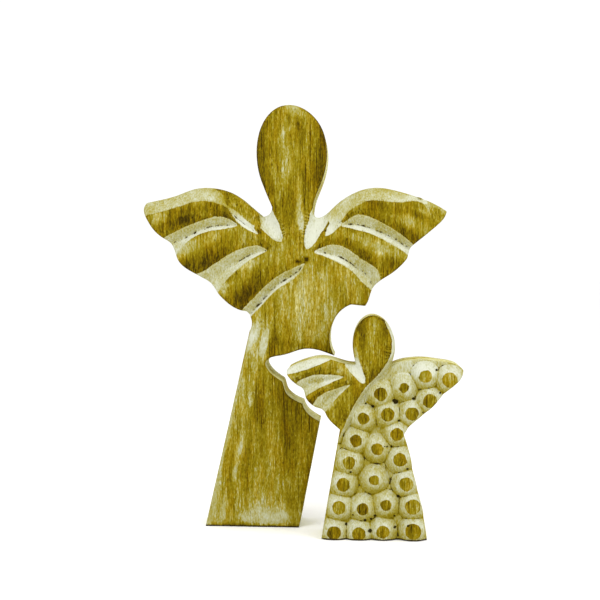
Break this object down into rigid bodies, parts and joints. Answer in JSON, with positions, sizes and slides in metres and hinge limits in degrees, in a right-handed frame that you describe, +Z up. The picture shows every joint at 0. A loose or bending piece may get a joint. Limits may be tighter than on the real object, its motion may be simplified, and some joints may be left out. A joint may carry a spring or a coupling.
{
  "type": "carved wooden figurine",
  "caption": "Two carved and white-washed plank angels: the small one, in a bossed robe, slides into a pocket sawn in the side of the large one.",
  "frame": {"origin": "middle of the large angel's foot, on the surface that both angels stand on", "axes": "+Z up; -Y the way the carved faces look; +X towards the small angel, to the viewer's right"},
  "size_m": [0.2243, 0.062, 0.3],
  "materials": {
    "washed_wood": "hand carved, white-washed and sanded back, so that paint stays in the cuts"
  },
  "bodies": {
    "large_angel": {"large_angel": "washed_wood"},
    "small_angel": {"small_angel": "washed_wood"}
  },
  "joints": [
    {"name": "small_angel_nesting", "type": "slide", "parent": "large_angel", "child": "small_angel", "axis": [-0.3764, 0.9265, 0], "range_m": [0, 0.03454]}
  ]
}
